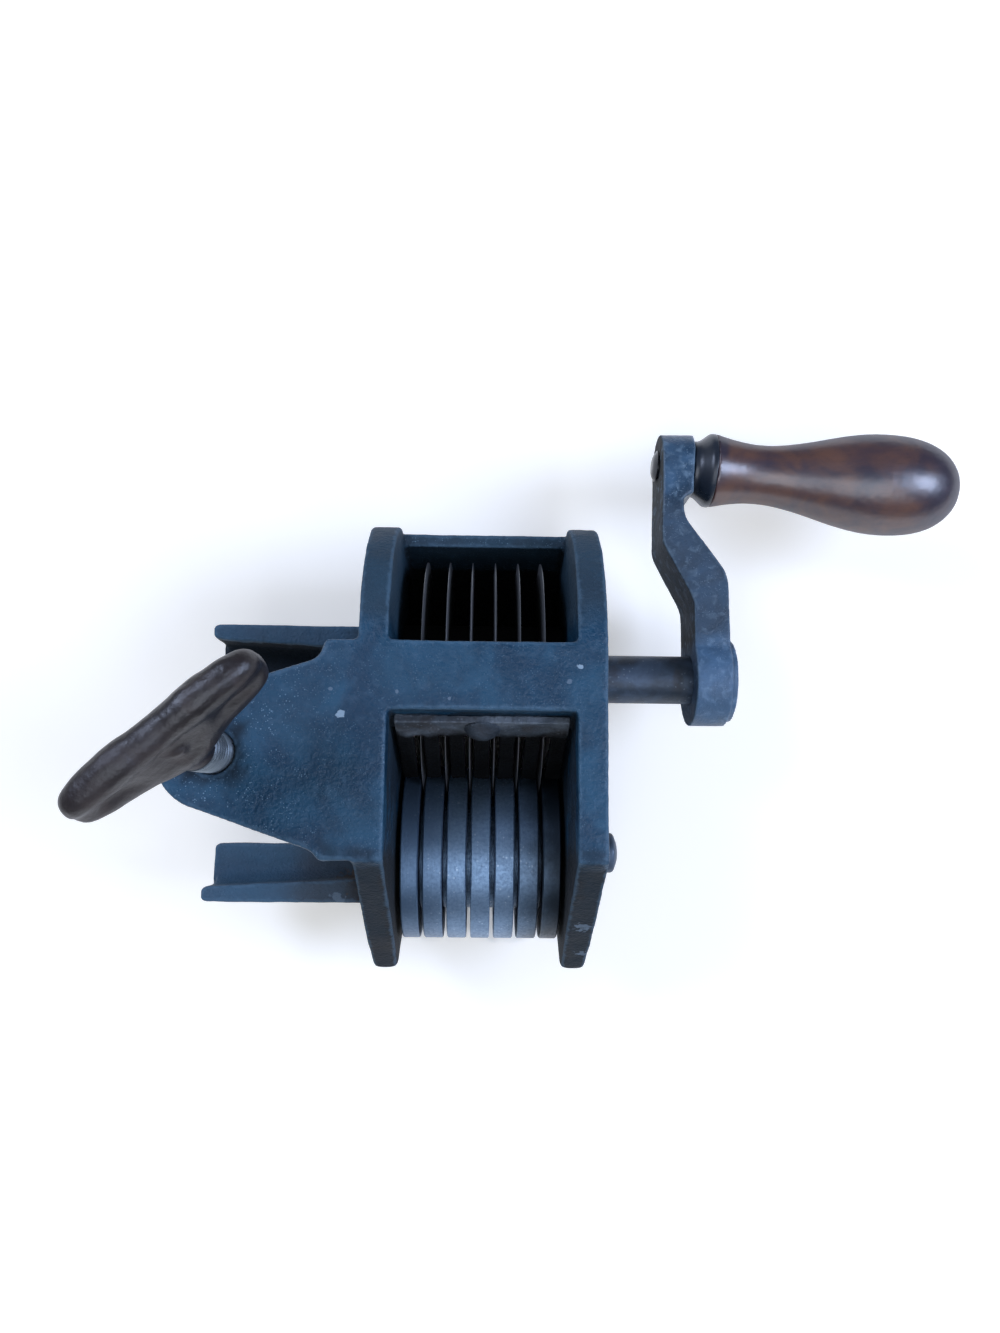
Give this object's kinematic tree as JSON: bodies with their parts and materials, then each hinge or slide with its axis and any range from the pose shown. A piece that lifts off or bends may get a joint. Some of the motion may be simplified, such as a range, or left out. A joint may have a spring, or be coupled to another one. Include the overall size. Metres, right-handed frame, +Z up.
{
  "type": "bean slicer",
  "caption": "Hand-cranked table-clamp bean slicer: iron frame, thin round blades on a crank shaft running in a grooved roller, stripper comb, wing-screw clamp and wooden crank handle.",
  "frame": {"origin": "middle of the underside's box, on the surface that the slicer lies on, with the feed side down as in the picture", "axes": "+X along the crank shaft towards the handle, +Y away from the roller, +Z up out of the discharge windows towards the wing screw; in use the tool is turned over, with the table's edge in the clamp"},
  "size_m": [0.2108, 0.1473, 0.1224],
  "materials": {
    "slate_enamel": "worn slate-blue enamel over rough cast iron, satin",
    "rough_iron": "bare rough iron, dull",
    "dark_iron": "dark turned iron with a brown bloom",
    "roller_steel": "turned steel, blue-grey and dull",
    "blade_steel": "dark thin steel with bright ground bevels",
    "forged_iron": "smooth brown-black forged iron",
    "black_iron": "glossy black",
    "varnished_wood": "dark brown varnished hardwood"
  },
  "bodies": {
    "frame": {"frame_casting": "slate_enamel", "stripper_comb": "rough_iron", "comb_screw": "rough_iron", "roller_axle": "dark_iron"},
    "rotor": {"crank_shaft": "dark_iron", "blade_1": "blade_steel", "blade_2": "blade_steel", "blade_3": "blade_steel", "blade_4": "blade_steel", "blade_5": "blade_steel", "blade_6": "blade_steel", "spacer_1": "rough_iron", "spacer_2": "rough_iron", "spacer_3": "rough_iron", "spacer_4": "rough_iron", "spacer_5": "rough_iron", "end_collar_left": "rough_iron", "end_collar_right": "rough_iron", "collar_pin": "dark_iron", "crank_arm": "slate_enamel", "crank_pin": "dark_iron", "handle_spindle": "dark_iron"},
    "handle": {"handle_ferrule": "black_iron", "handle_grip": "varnished_wood"},
    "roller": {"grooved_roller": "roller_steel"},
    "pad": {"clamp_pad": "forged_iron"},
    "screw": {"clamp_screw": "forged_iron"}
  },
  "joints": [
    {"name": "crank_turn", "type": "hinge", "parent": "frame", "child": "rotor", "pos_m": [-0.02668, 0.00357, 0.0365], "axis": [1, 0, 0], "continuous": true},
    {"name": "handle_spin", "type": "hinge", "parent": "rotor", "child": "handle", "pos_m": [0.02582, 0.06377, 0.0365], "axis": [0.9976, -0.0698, 0], "continuous": true},
    {"name": "roller_spin", "type": "hinge", "parent": "frame", "child": "roller", "pos_m": [-0.02668, -0.04311, 0.0319], "axis": [1, 0, 0], "continuous": true},
    {"name": "pad_slide", "type": "slide", "parent": "frame", "child": "pad", "axis": [0, 0, 1], "range_m": [-0.0132, 0.0132]},
    {"name": "screw_turn", "type": "hinge", "parent": "pad", "child": "screw", "pos_m": [-0.08578, -0.01977, 0.0603], "axis": [0, 0, 1], "range_deg": [-2340, 2340]}
  ],
  "couplings": [
    {"joint": "pad_slide", "follows": "screw_turn", "m_per_rad": 0.00031831}
  ]
}
